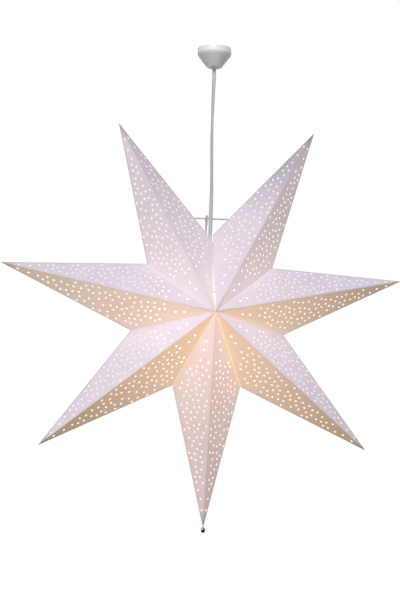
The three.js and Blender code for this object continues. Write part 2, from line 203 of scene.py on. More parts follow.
# Other finishes, as the two tones that their grain goes between
SHEATH_TONES = (0.45, 0.45, 0.49), (0.55, 0.55, 0.59)
TWINE_TONES = (0.56, 0.48, 0.43), (0.78, 0.69, 0.63)
GLASS_BODY = (0.3, 0.27, 0.23)
GLASS_TONES = (0.66, 0.59, 0.5), (0.72, 0.64, 0.54)
GLASS_BELLY = (-STAR_DROP + 0.005, -STAR_DROP - 0.02)
FILAMENT_BODY = (0.9, 0.7, 0.4)
FILAMENT_TONES = (1.0, 0.6, 0.25), (1.2, 0.85, 0.5)

# The bead's dark colour and its painted highlight, and where the painted highlight is from the star's
# centre
BEAD_DARK_AND_HIGHLIGHT = (0.01, 0.01, 0.011), (0.31, 0.31, 0.31)
BEAD_HIGHLIGHT_PLACE = Vector((-0.0015, -0.002, -0.2827))
BEAD_HIGHLIGHT_EDGE = (0.002, 0.0008)

# Camera, as distances, and turns in degrees, about the star's centre
CAMERA_DISTANCE = 1.53
CAMERA_TURNS = (-8.65, -3.27)
CAMERA_ROLL = 1.41
AIM = Vector((-0.0109, 0.0192, 0))
LENS = 69
SENSOR = 36

# Lamps, as azimuth and elevation in degrees and how bright they light white, and
# the room
LAMPS = {"key": (-15.5, 44, 0.84), "back": (160, 24, 0.24)}
LAMP_DISTANCE = 2.4
LAMP_SIZE = 1.3
ROOM_LIGHT = 0.18
FLOOR_HEIGHT = -1.15
FLOOR_RADIUS = 1.8
FLOOR_TONE = (0.62, 0.62, 0.62)
FLOOR_LIGHT = 0.72


def maths(operation, swapped=False):
    """An operator of Value that adds a Math node"""
    def operator(self, other):
        values = (other, self) if swapped else (self, other)
        return self.tree.add("ShaderNodeMath", values, operation=operation)
    return operator


class Value:
    """A socket of a node tree, which Python's operators turn into Math nodes"""

    def __init__(self, tree, socket):
        self.tree = tree
        self.socket = socket

    __add__ = __radd__ = maths("ADD")
    __sub__ = maths("SUBTRACT")
    __rsub__ = maths("SUBTRACT", swapped=True)
    __mul__ = __rmul__ = maths("MULTIPLY")
    __truediv__ = maths("DIVIDE")
    __pow__ = maths("POWER")
    __gt__ = maths("GREATER_THAN")
    __lt__ = maths("LESS_THAN")


class Tree:
    """A node tree that is filled one node at a time"""

    def __init__(self, nodes):
        self.nodes = nodes

    def add(self, kind, values=(), output=0, **settings):
        """Adds a node with its settings and the values or links of its sockets"""
        node = self.nodes.nodes.new(kind)
        for name, setting in settings.items():
            setattr(node, name, setting)
        pairs = values.items() if isinstance(values, dict) else enumerate(values)
        for key, value in pairs:
            self.feed(node.inputs[key], value)
        return Value(self, node.outputs[output])

    def feed(self, socket, value):
        """Links a socket or sets it. A list is several links, and a colour needs no alpha."""
        for one in value if isinstance(value, list) else [value]:
            if isinstance(one, Value):
                self.nodes.links.new(one.socket, socket)
            else:
                socket.default_value = (*one, 1.0) if socket.type == "RGBA" else one

    def attribute(self, name, output="Fac"):
        return self.add("ShaderNodeAttribute", output=output, attribute_name=name)

    def place(self):
        """The object's own coordinates, in metres"""
        return self.add("ShaderNodeTexCoord", output="Object")

    def vector(self, operation, *values, output=0):
        return self.add("ShaderNodeVectorMath", values, output, operation=operation)

    def split(self, vector):
        node = self.nodes.nodes.new("ShaderNodeSeparateXYZ")
        self.feed(node.inputs[0], vector)
        return [Value(self, output) for output in node.outputs]

    def ramp(self, value, low, high):
        """Smoothly from 0 at low to 1 at high"""
        values = {0: value, 1: low, 2: high}
        return self.add("ShaderNodeMapRange", values, interpolation_type="SMOOTHSTEP")

    def mix(self, share, first, second, kind="MIX"):
        """A colour between two, or the two put together by another blend"""
        values = {0: share, 6: first, 7: second}
        return self.add("ShaderNodeMix", values, output=2, data_type="RGBA", blend_type=kind)

    def filtered(self, colour, by):
        return self.mix(1.0, colour, by, "MULTIPLY")

    def tint(self, colour, strength):
        """A colour times a value"""
        return self.filtered(colour, self.add("ShaderNodeCombineColor", [strength] * 3))

    def grain(self, scale, detail=2.0, place=None):
        """Noise, on the object's own coordinates where no others are given"""
        values = {"Vector": place or self.place(), "Scale": scale, "Detail": detail}
        return self.add("ShaderNodeTexNoise", values)

    def mottle(self, patches, colour, dark):
        """A colour with darker patches"""
        return self.mix(patches, tuple(dark * part for part in colour), colour)


class Finish(Tree):
    """A new material, as its tree"""

    def __init__(self, name, **sockets):
        self.made = bpy.data.materials.new(name)
        self.made.use_nodes = True
        self.nodes = self.made.node_tree
        self.dress(**sockets)

    def dress(self, **sockets):
        """Sets or links sockets of the Principled BSDF, with _ for a space in their names"""
        shader = self.nodes.nodes["Principled BSDF"]
        for name, value in sockets.items():
            self.feed(shader.inputs[name.replace("_", " ")], value)

    def relief(self, height, depth):
        """A bump of that depth in metres"""
        values = {"Height": height, "Distance": depth, "Strength": 1.0}
        self.dress(Normal=self.add("ShaderNodeBump", values))


# Star corners: the apexes, and for each point of one half its tip and the
# notches below and above it. A glued valley may be settled a little further
# closed, which turns what is above it.
POINT_ANGLE = (2 * pi - SEAM_ANGLE) / POINT_COUNT
POINTS_PER_HALF = (POINT_COUNT - 1) // 2
FRONT_APEX = Vector((0, -HALF_DEPTH, 0))
BACK_APEX = Vector((0, HALF_DEPTH, 0))


def on_star(radius, turns):
    angle = turns * POINT_ANGLE - pi / 2
    return Vector((radius * cos(angle), 0, radius * sin(angle)))


def turn_about(start, end, angle):
    turn = Matrix.Rotation(angle, 4, (end - start).normalized())
    return Matrix.Translation(start) @ turn @ Matrix.Translation(-start)


def half_star(side):
    mirror = Matrix.Diagonal((side, 1, 1, 1))
    placed = Matrix.Identity(4)
    points = []
    for j in range(POINTS_PER_HALF + 1):
        low = on_star(NOTCH_RADIUS, j - 0.5)
        if j > 0:
            placed = placed @ turn_about(FRONT_APEX, low, radians(SETTLE[side][j - 1]))
        corners = {"front": FRONT_APEX, "back": BACK_APEX, "low": low}
        corners.update(tip=on_star(TIP_RADIUS, j), high=on_star(NOTCH_RADIUS, j + 0.5))
        points.append({key: mirror @ placed @ corner for key, corner in corners.items()})
    return points


def star_facets():
    """Every facet: its node's name, its apex, tip and notch, and its side if it is at the seam.
    All facets of the back reach one apex, which closes its valleys."""
    facets = []
    shared = BACK_APEX.lerp(half_star(1)[-1]["back"], BACK_SHARE)
    for side in SETTLE:
        for j, corners in enumerate(half_star(side)):
            number = j + 1 if side > 0 or j == 0 else POINT_COUNT + 1 - j
            middle = (corners["front"] + corners["back"]) / 2
            inward = (middle - corners["tip"]).normalized()
            tip = corners["tip"] + inward * SHORTENED.get(number, 0.0)
            seam_side = side if j == POINTS_PER_HALF else 0
            high_word = "upper" if j > 0 else "right" if side > 0 else "left"
            for face, apex in (("front", corners["front"]), ("back", shared)):
                name = f"point_{number}_{face}"
                if j > 0:
                    facets.append((f"{name}_lower", apex, tip, corners["low"], 0))
                facets.append((f"{name}_{high_word}", apex, tip, corners["high"], seam_side))
    return facets


# The flat triangle that all facets share, from its tip along the ridge
CREST = FRONT_APEX - on_star(TIP_RADIUS, 0)
RIDGE = CREST.length
EDGE = on_star(NOTCH_RADIUS, 0.5) - on_star(TIP_RADIUS, 0)
NOTCH_ALONG = EDGE.dot(CREST) / RIDGE
NOTCH_ACROSS = sqrt(EDGE.length_squared - NOTCH_ALONG ** 2)


def edge_distances(x, y, notch_x, notch_y):
    """How far a place on the flat facet is from its ridge, its outline and its valley"""
    outline = (notch_x ** 2 + notch_y ** 2) ** 0.5
    beyond = RIDGE - notch_x
    valley = (beyond ** 2 + notch_y ** 2) ** 0.5
    from_outline = (x * notch_y - y * notch_x) / outline
    from_valley = ((RIDGE - x) * notch_y - y * beyond) / valley
    return y, from_outline, from_valley


# Materials
def lamp_measures(tree):
    """How far a place is from the lamp and from the line between the apexes, its side
    from -1 to 1, and its height from 0 to 1"""
    offset = tree.vector("SUBTRACT", tree.place(), tuple(STAR_CENTRE))
    level = tree.vector("MULTIPLY", offset, (1.0, 0.0, 1.0))
    way = tree.split(tree.vector("NORMALIZE", level))
    return {
        "lamp": tree.vector("LENGTH", offset, output="Value"),
        "axis": tree.vector("LENGTH", level, output="Value"),
        "side": way[0],
        "height": way[2] * 0.5 + 0.5,
    }


def make_paper(name):
    """White paper, with the lamp's light through it painted into its emission, and painted shade and light
    by its folds, tips and seam
    """
    tree = Finish(name, Roughness=0.86, Specular_IOR_Level=0.25, Emission_Strength=1.0)
    ridge, outline, valley = tree.split(tree.attribute("edges", "Vector"))
    seam = tree.attribute("seam")
    measures = lamp_measures(tree)
    measures.update(ridge=ridge, outline=outline, valley=valley)
    measures.update(across=valley / (valley + ridge), facing=tree.attribute("facing"))
    zone = SimpleNamespace(**{
        key: tree.ramp(measures[by], *span)
        for by, spans in ZONES.items()
        for key, span in spans.items()
    })
    down = 1 - zone.not_down
    left = 1 - zone.right
    lowest = 1 - zone.off_bottom
    behind = seam < -0.5

    # Painted glow by facing and height: warm where a facet faces down, deeper towards the low tips, paler
    # and cooler where it faces up
    glow = tree.mix(down, GLOW_LEVEL, GLOW_DOWN)
    glow = tree.filtered(glow, tree.mix(measures["height"], GLOW_LOW_TINT, GLOW_HIGH_TINT))
    # Painted light: left facets that face down glow paler
    glow = tree.mix(left * down * zone.off_bottom, glow, tree.filtered(glow, LEFT_PAINTED_LIGHT))
    low_tip = down * zone.low * zone.far
    glow = tree.mix(low_tip, glow, GLOW_DOWN_TIP)
    paler = tree.mix(zone.rising, GLOW_UP_LOW, GLOW_UP_HIGH)
    # Painted shade under the top, near the axis, which dims the upward glow
    paler = tree.tint(paler, 1 - zone.under_top * zone.inner * AMOUNT.under_top)
    glow = tree.mix(zone.upward, glow, paler)
    # Painted cool light on upward facets towards the right tips, and painted shade on downward ones
    right_tip = zone.right * zone.outer * zone.over_middle * zone.under_high
    glow = tree.mix(right_tip * zone.upward, glow, TIP_PAINTED_COOL_LIGHT, "ADD")
    # Painted glow on the left facet at the seam, near the middle
    glow = tree.mix(behind * zone.by_seam, glow, SEAM_PAINTED_GLOW)

    # Painted light that the facet across a valley throws back: peach by the lowest point,
    # warm on an upward facet and pale on a downward one
    in_valley = 1 - zone.off_valley
    peach = tree.filtered(glow, VALLEY_BOUNCE_PEACH)
    glow = tree.mix(lowest * in_valley * (1 - down), glow, peach)
    glow = tree.mix(in_valley * down * zone.off_bottom * AMOUNT.valley_pale, glow, VALLEY_BOUNCE_PALE)
    sheltered = zone.sheltered * zone.right
    warm = in_valley * sheltered * AMOUNT.valley_sheltered
    warm = warm + (1 - zone.off_fold) * (1 - sheltered) * AMOUNT.valley_open
    warm = zone.upward * warm * zone.off_bottom * (1 - seam * seam)
    glow = tree.mix(warm, glow, VALLEY_BOUNCE_WARM)

    # Painted shade, which makes a place darker: at a crease, towards a tip, and on the part tucked in at
    # the seam
    near_apex = zone.at_apex * (1 - left * zone.upper * AMOUNT.apex_left)
    creased = zone.over_middle * zone.right * zone.upward * AMOUNT.crease_right + AMOUNT.crease
    creased = creased + near_apex * zone.off_bottom * AMOUNT.crease_apex
    # The part tucked in at the seam, which gets painted shade and the flex's painted shadow
    tucked = behind * zone.at_valley * zone.off_apex
    high_tip = zone.to_tip * zone.highest * zone.upward
    clouds = tree.grain(42, 3.0)
    shade = 1 - AMOUNT.clouds / 2 + clouds * AMOUNT.clouds
    # Painted shade along the outline
    shade = shade * (1 - AMOUNT.outline + zone.off_outline * AMOUNT.outline)
    for darker in (
        (1 - zone.off_ridge) * creased,
        high_tip * (AMOUNT.high_tip + zone.right * AMOUNT.high_tip_right),
        low_tip * (AMOUNT.low_tip - zone.right * AMOUNT.low_tip_right),
        tucked * AMOUNT.tucked,
        right_tip * down * AMOUNT.right_tip,
        zone.tip_end * AMOUNT.tip_end,
    ):
        shade = shade * (1 - darker)

    # Painted light, which makes it lighter: level tips up high, the lowest point's left half and
    # the left facets that face down
    level = (1 - zone.upward) * (1 - down)
    lift = level * zone.well_out * zone.high * AMOUNT.level_lift
    lift = lift + zone.left_edge * lowest * zone.past_middle * AMOUNT.bottom_lift
    lift = lift + left * down * zone.off_low * zone.off_lamp * AMOUNT.left_lift
    shade = shade * (1 + lift)

    # The painted glow fades with distance from the lamp
    fading = measures["lamp"] * (-1 / GLOW_REACH)
    nearness = tree.add("ShaderNodeMath", [fading], operation="EXPONENT")
    glow = tree.tint(glow, nearness * (1 - GLOW_FAR_SHARE) + GLOW_FAR_SHARE)
    # The glue line along the low valleys, gold in the painted glow
    gold = (1 - zone.off_glue) * lowest * (AMOUNT.gold + zone.right * AMOUNT.gold_right)
    glow = tree.mix(gold, glow, VALLEY_GOLD)
    # The flex's painted shadow on the part tucked in at the seam
    glow = tree.mix(tucked * AMOUNT.tucked_shadow, glow, SEAM_PAINTED_SHADOW)
    # The base colour takes the painted warm shade on the outer parts of downward facets
    body = tree.mix(down * zone.outer, tree.mottle(clouds, PAPER_WHITE, 0.95), PAPER_PAINTED_WARM_SHADE)
    tree.dress(Emission_Color=tree.tint(glow, shade), Base_Color=tree.tint(body, shade))
    tree.relief(tree.grain(900, 3.0) + clouds * 0.6, 0.00006)
    tree.made.cycles.emission_sampling = "NONE"
    return tree.made


def make_paper_inside(name):
    """The side of the paper that the lamp shines on, which the holes show. The lamp's light on it is
    painted as emission, warmer where it faces down and brightest near the lamp.
    """
    tree = Finish(name, Base_Color=INSIDE_BODY, Roughness=0.9, Emission_Strength=1.0)
    upward = tree.ramp(tree.attribute("facing"), FACING_DOWN, FACING_UP)
    near = tree.ramp(lamp_measures(tree)["lamp"], *INSIDE_NEAR_REACH)
    light = tree.mix(near, tree.mix(upward, INSIDE_DOWN, INSIDE_UP), INSIDE_NEAR)
    tree.dress(Emission_Color=tree.tint(light, 0.96 + tree.grain(300) * 0.08))
    tree.made.cycles.emission_sampling = "NONE"
    return tree.made


def make_moulded(name, colour, roughness):
    """Plastic, rubber or glazed clay, with a fine uneven skin"""
    tree = Finish(name, Coat_Weight=0.15, Coat_Roughness=0.3)
    skin = tree.grain(700)
    colour = tree.mottle(tree.grain(60), colour, 0.93)
    tree.dress(Base_Color=colour, Roughness=roughness - 0.06 + skin * 0.12)
    tree.relief(skin, 0.00001)
    return tree.made


def make_metal(name, colour, roughness):
    """Drawn or plated metal, with fine wear in its gloss"""
    tree = Finish(name, Metallic=1.0)
    wear = tree.grain(1200, 4.0)
    colour = tree.mottle(tree.grain(150, 3.0), colour, 0.8)
    tree.dress(Base_Color=colour, Roughness=roughness * (0.7 + wear * 0.6))
    tree.relief(wear, 0.000004)
    return tree.made


def make_bead_metal(name):
    """Nearly black chrome, with a painted highlight up on its left for the reflection of a window"""
    tree = Finish(name, Metallic=1.0)
    spot = tuple(STAR_CENTRE + BEAD_HIGHLIGHT_PLACE)
    away = tree.vector("DISTANCE", tree.place(), spot, output="Value")
    colour = tree.mix(tree.ramp(away, *BEAD_HIGHLIGHT_EDGE), *BEAD_DARK_AND_HIGHLIGHT)
    tree.dress(Base_Color=colour, Roughness=0.12 + tree.grain(1200, 4.0) * 0.06)
    return tree.made


def make_sheath(name):
    """White sheath, slightly glossy, with the drag marks of its making"""
    tree = Finish(name, Specular_IOR_Level=0.4)
    stretched = tree.add("ShaderNodeMapping", {"Vector": tree.place(), "Scale": (900, 900, 30)})
    marks = tree.grain(1.0, place=stretched)
    tree.dress(Base_Color=tree.mix(marks, *SHEATH_TONES), Roughness=0.4 + marks * 0.15)
    tree.relief(marks, 0.000012)
    return tree.made


def make_twine(name):
    tree = Finish(name, Roughness=0.95, Sheen_Weight=0.3)
    fibres = tree.grain(2600, 4.0)
    tree.dress(Base_Color=tree.mix(fibres, *TWINE_TONES))
    tree.relief(fibres, 0.0001)
    return tree.made


def make_lit_glass(name):
    """Frosted glass with the light behind it, brightest at its belly"""
    tree = Finish(name, Base_Color=GLASS_BODY, Roughness=0.45, Coat_Weight=0.2, Emission_Strength=1.0)
    belly = tree.ramp(tree.split(tree.place())[2], *GLASS_BELLY)
    tree.dress(Emission_Color=tree.tint(tree.mix(belly, *GLASS_TONES), 0.95 + tree.grain(500) * 0.1))
    return tree.made


def make_filament(name):
    tree = Finish(name, Base_Color=FILAMENT_BODY, Roughness=0.5, Emission_Strength=1.0)
    tree.dress(Emission_Color=tree.mix(tree.grain(900, 1.0), *FILAMENT_TONES))
    return tree.made


PAPER = make_paper("star paper, lit")
PAPER_INSIDE = make_paper_inside("star paper, inside")
FINISHES = {
    "white_plastic": make_moulded("white moulded plastic", (0.86, 0.86, 0.85), 0.38),
    "white_rubber": make_moulded("white rubber", (0.8, 0.8, 0.8), 0.62),
    "ceramic": make_moulded("glazed ceramic", (0.86, 0.84, 0.79), 0.28),
    "brass": make_metal("brass", (0.78, 0.58, 0.26), 0.28),
    "nickel": make_metal("nickel plate", (0.72, 0.72, 0.71), 0.25),
    "steel": make_metal("zinc plated steel", (0.62, 0.63, 0.64), 0.36),
    "wire": make_metal("steel wire", (0.46, 0.48, 0.46), 0.5),
    "dark_chrome": make_bead_metal("dark chrome"),
    "flex": make_sheath("flex sheath"),
    "string": make_twine("twine"),
    "warm_glass": make_lit_glass("lit frosted glass"),
    "glowing_filament": make_filament("hot filament"),
}


def settle_piece(piece, node, body, slot):
    """Gives a piece its body and its finish, and hides the node that it stands for"""
    if not piece.data.materials:
        piece.data.materials.append(FINISHES[slot])
    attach(piece, body)
    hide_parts(node)


def add_object(name, data):
    made = bpy.data.objects.new(name, data)
    bpy.context.scene.collection.objects.link(made)
    return made


# Camera
def heading(azimuth, elevation):
    """The way out from the star's centre, by its turn from the front and its rise"""
    turn = radians(azimuth)
    rise = radians(elevation)
    return Vector((sin(turn) * cos(rise), -cos(turn) * cos(rise), sin(rise)))


def add_camera():
    offset = heading(*CAMERA_TURNS) * CAMERA_DISTANCE
    facing = (-offset).to_track_quat("-Z", "Y").to_matrix()
    facing = facing @ Matrix.Rotation(radians(CAMERA_ROLL), 3, "Z")
    look = (facing @ AIM - offset).normalized()
    right = look.cross(facing.col[1]).normalized()
    axes = Matrix((right, right.cross(look), -look)).transposed().to_4x4()
    data = bpy.data.cameras.new("camera")
    data.sensor_fit = "VERTICAL"
    data.sensor_height = SENSOR
    data.lens = LENS
    camera = add_object("camera", data)
    camera.matrix_world = Matrix.Translation(STAR_CENTRE + offset) @ axes
    bpy.context.scene.camera = camera


add_camera()


# Cords
def smooth_route(points, steps):
    """Points on one smooth curve through the chosen ones"""
    spots = [Vector(point) for point in points]
    spots = [2 * spots[0] - spots[1], *spots, 2 * spots[-1] - spots[-2]]
    route = []
    for a, b, c, d in zip(spots, spots[1:], spots[2:], spots[3:]):
        for i in range(steps):
            t = i / steps
            line = 2 * b + (c - a) * t
            bend = (2 * a - 5 * b + 4 * c - d) * t ** 2 + (3 * b - a - 3 * c + d) * t ** 3
            route.append((line + bend) / 2)
    return [*route, spots[-2]]


def sweep(name, route, section, turn):
    """A closed tube of that section along a route, turned by turn(share) about it"""
    shape = bmesh.new()
    rings = []
    across = Vector((1, 0, 0))
    for i, point in enumerate(route):
        ahead = route[min(i + 1, len(route) - 1)] - route[max(i - 1, 0)]
        ahead.normalize()
        across = (across - ahead * across.dot(ahead)).normalized()
        upright = ahead.cross(across)
        angle = turn(i / (len(route) - 1))
        first = across * cos(angle) + upright * sin(angle)
        second = upright * cos(angle) - across * sin(angle)
        rings.append([shape.verts.new(point + first * x + second * y) for x, y in section])
    skin(shape, rings)
    shape.faces.new(reversed(rings[0]))
    shape.faces.new(rings[-1])
    return add_solid(name, shape)


def skin(shape, rings):
    """Faces between each ring of points and the next one"""
    for ring, following in zip(rings, rings[1:]):
        for k in range(len(ring)):
            n = (k + 1) % len(ring)
            shape.faces.new((ring[k], ring[n], following[n], following[k]))


def add_solid(name, shape):
    bmesh.ops.recalc_face_normals(shape, faces=shape.faces)
    mesh = bpy.data.meshes.new(name)
    shape.to_mesh(mesh)
    shape.free()
    for face in mesh.polygons:
        face.use_smooth = True
    mesh.set_sharp_from_angle(angle=SHARP_EDGE)
    return add_object(name, mesh)


def flex_section():
    """The flat twin flex, with a shallow groove between its two cores"""
    sides = 28
    corner = FLEX_THICKNESS / 2
    reach = FLEX_WIDTH / 2 - corner
    section = []
    for i in range(sides):
        angle = 2 * pi * (i + 0.5) / sides
        core = reach if cos(angle) > 0 else -reach
        x = core * min(1.0, abs(cos(angle)) * 2.4) + corner * cos(angle)
        groove = FLEX_GROOVE * max(0.0, 1 - abs(x) / (0.6 * corner)) ** 2
        y = corner * sin(angle) - copysign(groove, sin(angle))
        section.append((x, y))
    return section


# Where the flex is on its way down, as its side, its depth and how far below its top
FLEX_BENDS = [
    (0, 0, 0), (0, 0, 0.014), (-0.0005, 0.0002, 0.046), (-0.0009, 0, 0.084), (-0.0003, -0.0003, 0.124),
    (0.0005, -0.0002, 0.16), (0.0003, 0, 0.192), (0, 0, 0.222)
]

# How the flex turns about itself, as shares of its length from the top and
# turns from lying flat to the front
FLEX_TURN_SHARES = [
    (0, 0.03), (0.1, 0.07), (0.2, 0.19), (0.3, 0.24), (0.37, 0.2), (0.52, 0.2), (0.66, 0.05), (1, 0.02)
]


def flex_turn(share):
    for (start, low), (end, high) in zip(FLEX_TURN_SHARES, FLEX_TURN_SHARES[1:]):
        if share <= end:
            t = (share - start) / (end - start)
            return 2 * pi * (low + (high - low) * (3 * t ** 2 - 2 * t ** 3))
    return 0.0


def add_flex():
    places = [(x, y, FLEX_TOP - drop) for x, y, drop in FLEX_BENDS]
    places += [(0, 0, FLEX_BOTTOM + 0.012), (0, 0, FLEX_BOTTOM)]
    route = smooth_route(places, 12)
    flex = sweep("flex", route, flex_section(), flex_turn)
    settle_piece(flex, "hanging_flex", "flex", "flex")


def string_section():
    """Three strands laid together"""
    section = []
    for i in range(18):
        angle = 2 * pi * i / 18
        radius = STRING_DIAMETER / 2 * (0.86 + 0.14 * cos(3 * angle))
        section.append((radius * cos(angle), radius * sin(angle)))
    return section


# Where the string is before and after its loop over the wire, from the star's centre
STRING_RISE = [
    (-0.006, 0.00365, 0.0743), (-0.00545, 0.00445, 0.086), (-0.00495, 0.00505, 0.097),
    (-0.00485, 0.00535, 0.107), (-0.00475, 0.00715, 0.1165), (-0.00465, 0.0081, 0.1235)
]
STRING_END = [(-0.00435, 0.0017, 0.1245), (-0.0048, 0.0004, 0.12)]


def add_string():
    loop = []
    for step in range(5):
        angle = pi * step / 4
        depth = WIRE_SET_BACK + LOOP_RADIUS * cos(angle)
        height = WIRE_HEIGHT + LOOP_RADIUS * sin(angle)
        loop.append((-0.0047 + 0.0001 * step, depth, height))
    places = [(x, y, height - STAR_DROP) for x, y, height in (*STRING_RISE, *loop, *STRING_END)]
    route = smooth_route(places, 10)
    length = sum((b - a).length for a, b in zip(route, route[1:]))
    turns = 2 * pi * length / STRING_LAY
    string = sweep("string", route, string_section(), lambda share: turns * share)
    settle_piece(string, "support_string", "lamp", "string")


add_flex()
add_string()


# Pierced facets
SHARED_SIZES = {
    "Ridge Length": RIDGE, "Thickness": THICKNESS, "Hole Diameter": HOLE_DIAMETER,
    "Hole Spacing": HOLE_SPACING, "Hole Density": HOLE_DENSITY,
}
OWN_SIZES = ["Notch Along", "Notch Across", "Valley Margin", "Seed", "Outward"]


def facet_tree():
    """One flat facet: a triangle of paper with its holes, of real thickness"""
    group = bpy.data.node_groups.new("pierced facet", "GeometryNodeTree")
    group.interface.new_socket("Geometry", in_out="OUTPUT", socket_type="NodeSocketGeometry")
    sockets = {}
    for name in (*SHARED_SIZES, *OWN_SIZES):
        kind = "NodeSocketInt" if name == "Seed" else "NodeSocketFloat"
        sockets[name] = group.interface.new_socket(name, in_out="INPUT", socket_type=kind).identifier
    tree = Tree(group)
    entry = group.nodes.new("NodeGroupInput")
    size = {name: Value(tree, entry.outputs[name]) for name in sockets}
    ridge, notch_x, notch_y = size["Ridge Length"], size["Notch Along"], size["Notch Across"]

    def shape(kind, values=(), **settings):
        return tree.add("GeometryNode" + kind, values, **settings)

    def point(x, y, z=0.0):
        return tree.add("ShaderNodeCombineXYZ", [x, y, z])

    outline = shape("CurvePrimitiveQuadrilateral", {
        "Point 1": point(0.0, 0.0), "Point 2": point(ridge, 0.0),
        "Point 3": point((ridge + notch_x) / 2, notch_y / 2), "Point 4": point(notch_x, notch_y),
    }, mode="POINTS")
    scattered = shape("DistributePointsOnFaces", {
        "Mesh": shape("FillCurve", {"Curve": outline}), "Seed": size["Seed"],
        "Distance Min": size["Hole Spacing"], "Density Max": size["Hole Density"],
    }, distribute_method="POISSON")
    along, across, _ = tree.split(shape("InputPosition"))
    from_ridge, from_outline, from_valley = edge_distances(along, across, notch_x, notch_y)
    kept = (from_ridge > RIDGE_MARGIN) * (from_outline > OUTLINE_MARGIN)
    kept = kept * (from_valley > size["Valley Margin"])
    kept = kept * (along > ridge * PATTERN_SHARES[0]) * (along < ridge * PATTERN_SHARES[1])
    places = [shape("DeleteGeometry", {"Geometry": scattered, "Selection": kept < 0.5}, domain="POINT")]
    for shares, corner in ((TIP_HOLE_SHARES, 0.0), (INNER_HOLE_SHARES, ridge)):
        at = ridge * (shape("InputIndex") * (shares[1] - shares[0]) + shares[0])
        middle = notch_y * (corner - at) / (corner - notch_x) * 0.5
        places.append(shape("Points", {"Count": len(shares), "Position": point(at, middle)}))
    places = shape("JoinGeometry", {"Geometry": places})
    hole = shape("CurvePrimitiveCircle", {"Resolution": HOLE_SIDES, "Radius": size["Hole Diameter"] / 2})
    holes = shape("InstanceOnPoints", {"Points": places, "Instance": hole})
    holes = shape("RealizeInstances", {"Geometry": holes})
    sheet = shape("FillCurve", {"Curve": shape("JoinGeometry", {"Geometry": [outline, holes]})})
    down = point(0.0, 0.0, size["Thickness"] * -0.5)
    sheet = shape("SetPosition", {"Geometry": sheet, "Offset": down})
    rise = {"Offset": (0, 0, 1), "Offset Scale": size["Thickness"], "Individual": False}
    upper = shape("ExtrudeMesh", {"Mesh": sheet, **rise})
    under = shape("FlipFaces", {"Mesh": sheet})
    solid = shape("JoinGeometry", {"Geometry": [upper, under]})
    solid = shape("MergeByDistance", {"Geometry": solid, "Distance": WELD})
    solid = shape("SetMaterial", {"Geometry": solid, "Material": PAPER})

    # The inner side and the walls of the holes are lit, but not the facet's edges
    facing = tree.split(shape("InputNormal"))[2] * size["Outward"]
    clear = (from_ridge > LIT_EDGE) * (from_outline > LIT_EDGE) * (from_valley > LIT_EDGE)
    lit = (facing < -0.5) + clear * (facing < 0.5)
    solid = shape("RealizeInstances", {"Geometry": solid})
    solid = shape("SetMaterial", {"Geometry": solid, "Selection": lit > 0.5, "Material": PAPER_INSIDE})
    leave = group.nodes.new("NodeGroupOutput")
    tree.feed(leave.inputs[0], solid)
    return group, sockets


def inset_corners(corners, insets):
    """The corners of a triangle whose sides are each moved inwards, in its plane"""
    moved = []
    for i, corner in enumerate(corners):
        ahead = (corners[(i + 1) % 3] - corner).normalized()
        back = (corners[i - 1] - corner).normalized()
        moved.append(corner + (ahead * insets[i - 1] + back * insets[i]) / abs(ahead.cross(back)))
    return moved


def outward_normal(apex, tip, notch):
    normal = (tip - apex).cross(notch - apex).normalized()
    return normal if normal.dot(apex) > 0 else -normal


def fold_insets():
    """The insets at a ridge, an outline and a valley where sheets meet on the outer side"""
    tip = on_star(TIP_RADIUS, 0)
    notch = on_star(NOTCH_RADIUS, 0.5)
    facet = outward_normal(FRONT_APEX, tip, notch)
    beside = (
        outward_normal(FRONT_APEX, tip, on_star(NOTCH_RADIUS, -0.5)),
        outward_normal(BACK_APEX, tip, notch),
        outward_normal(FRONT_APEX, on_star(TIP_RADIUS, 1), notch),
    )
    return [-THICKNESS / 2 * tan(facet.angle(other) / 2) for other in beside]


def mitre(mesh, outward, notch):
    """Moves the corners of both layers, so that each fold is closed outside and clear inside"""
    ridge, outline, valley = fold_insets()
    corners = [Vector((RIDGE, 0)), Vector((0, 0)), Vector(notch)]
    layers = {
        1: inset_corners(corners, [ridge, outline, FOLD_CLEARANCE - valley]),
        -1: inset_corners(corners, [FOLD_CLEARANCE - ridge, FOLD_CLEARANCE - outline, valley]),
    }
    for moved in [corners, *layers.values()]:
        moved.append((moved[0] + moved[2]) / 2)
    for vertex in mesh.vertices:
        layer = 1 if vertex.co.z * outward > 0 else -1
        for corner, target in zip(corners, layers[layer]):
            if (vertex.co.xy - corner).length < SAME_PLACE:
                vertex.co.xy = target


def mark_sheet(mesh, place, notch, facing, seam):
    """Notes on the mesh how far each corner is from the folds, how far up the facet faces
    and, at the front, which side of the seam it is on"""
    to_facet = place.inverted()
    distances = []
    for vertex in mesh.vertices:
        flat = to_facet @ vertex.co
        distances.extend(edge_distances(flat.x, flat.y, *notch))
    count = len(mesh.vertices)
    for name, kind, key, values in (
        ("edges", "FLOAT_VECTOR", "vector", distances),
        ("facing", "FLOAT", "value", [facing] * count),
        ("seam", "FLOAT", "value", [seam] * count),
    ):
        mesh.attributes.new(name, kind, "POINT").data.foreach_set(key, values)


def facet_place(apex, tip, notch):
    """The facet's own axes: from its tip, along the ridge, and across towards the notch"""
    along = (apex - tip) / RIDGE
    across = (notch - tip - along * NOTCH_ALONG) / NOTCH_ACROSS
    facing = along.cross(across).normalized()
    axes = Matrix((along, across, facing)).transposed().to_4x4()
    return Matrix.Translation(tip) @ axes, 1 if facing.dot(apex) > 0 else -1


def halfway(start, end):
    """The place half way between two points, with +Z towards the second"""
    turn = (end - start).to_track_quat("Z", "Y").to_matrix().to_4x4()
    return Matrix.Translation((start + end) / 2) @ turn


